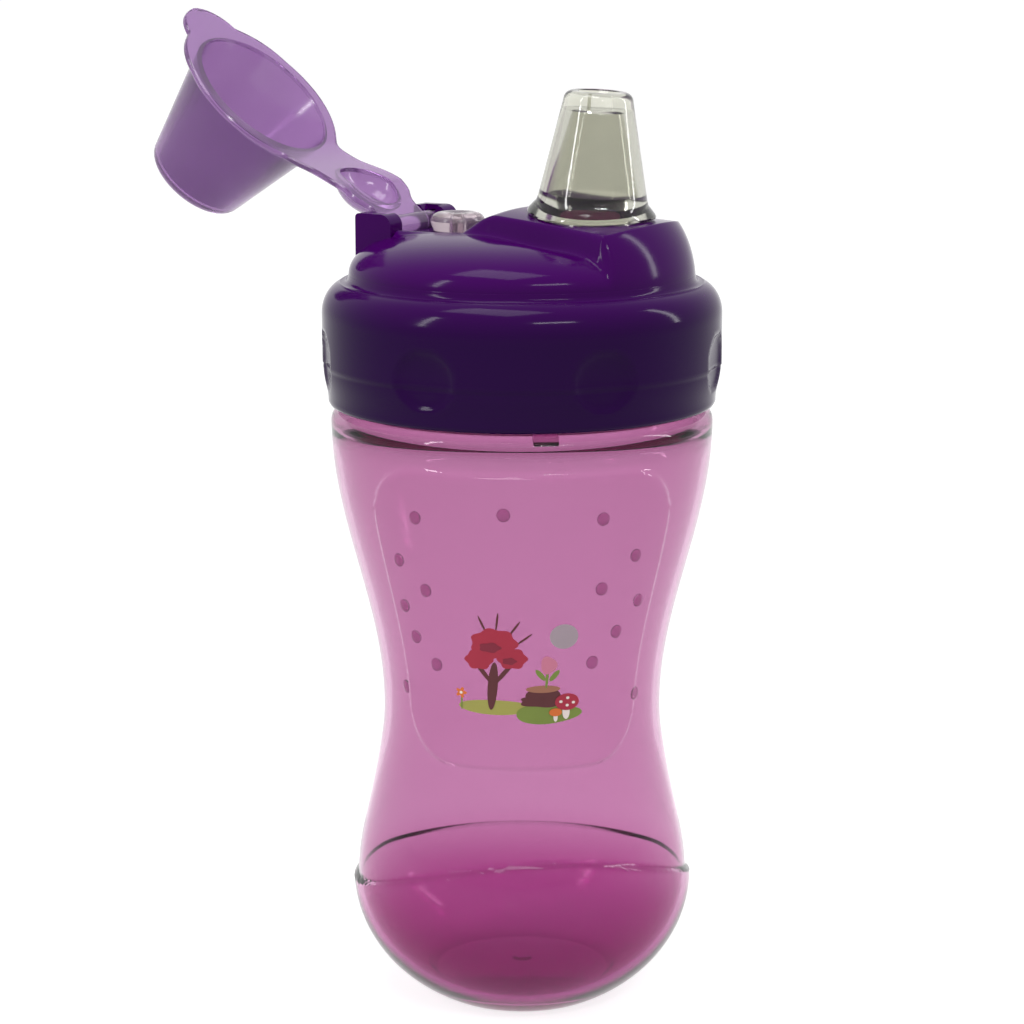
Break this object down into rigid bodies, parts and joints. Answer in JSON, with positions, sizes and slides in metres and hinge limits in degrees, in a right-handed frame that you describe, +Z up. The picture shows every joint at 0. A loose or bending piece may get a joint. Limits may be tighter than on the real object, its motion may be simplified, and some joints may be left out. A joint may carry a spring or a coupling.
{
  "type": "sippy cup",
  "caption": "Child's spout cup: tinted hourglass bottle, screw lid with a soft clear spout and an air vent, and a hinged hygiene cover stored open.",
  "frame": {"origin": "on the bottle's axis, in the plane of its flat foot", "axes": "+Z up along the bottle's axis; -Y towards the front grip panel; the spout points 30 degrees from +X towards -Y"},
  "size_m": [0.1148, 0.0878, 0.1954],
  "materials": {
    "bottle": "clear tinted, polished",
    "lid": "polished",
    "spout": "clear silicone",
    "vent": "cloudy silicone",
    "cover": "translucent, polished",
    "seal": "soft silicone"
  },
  "bodies": {
    "cup": {"cup_body": "bottle"},
    "seal": {"lid_seal_ring": "seal"},
    "lid": {"lid": "lid", "spout": "spout", "vent_valve": "vent"},
    "cover": {"hygiene_cover": "cover"}
  },
  "joints": [
    {"name": "lid_lift", "type": "slide", "parent": "cup", "child": "seal", "axis": [0, 0, 1], "range_m": [0, 0.005]},
    {"name": "lid_unscrew", "type": "hinge", "parent": "seal", "child": "lid", "pos_m": [0, 0, 0.1297], "axis": [0, 0, 1], "range_deg": [0, 360]},
    {"name": "cover_hinge", "type": "hinge", "parent": "lid", "child": "cover", "pos_m": [-0.02286, 0.0132, 0.15395], "axis": [0.5, 0.866, 0], "range_deg": [0, 138.5]}
  ],
  "couplings": [
    {"joint": "lid_lift", "follows": "lid_unscrew", "m_per_rad": 0.00079577}
  ]
}
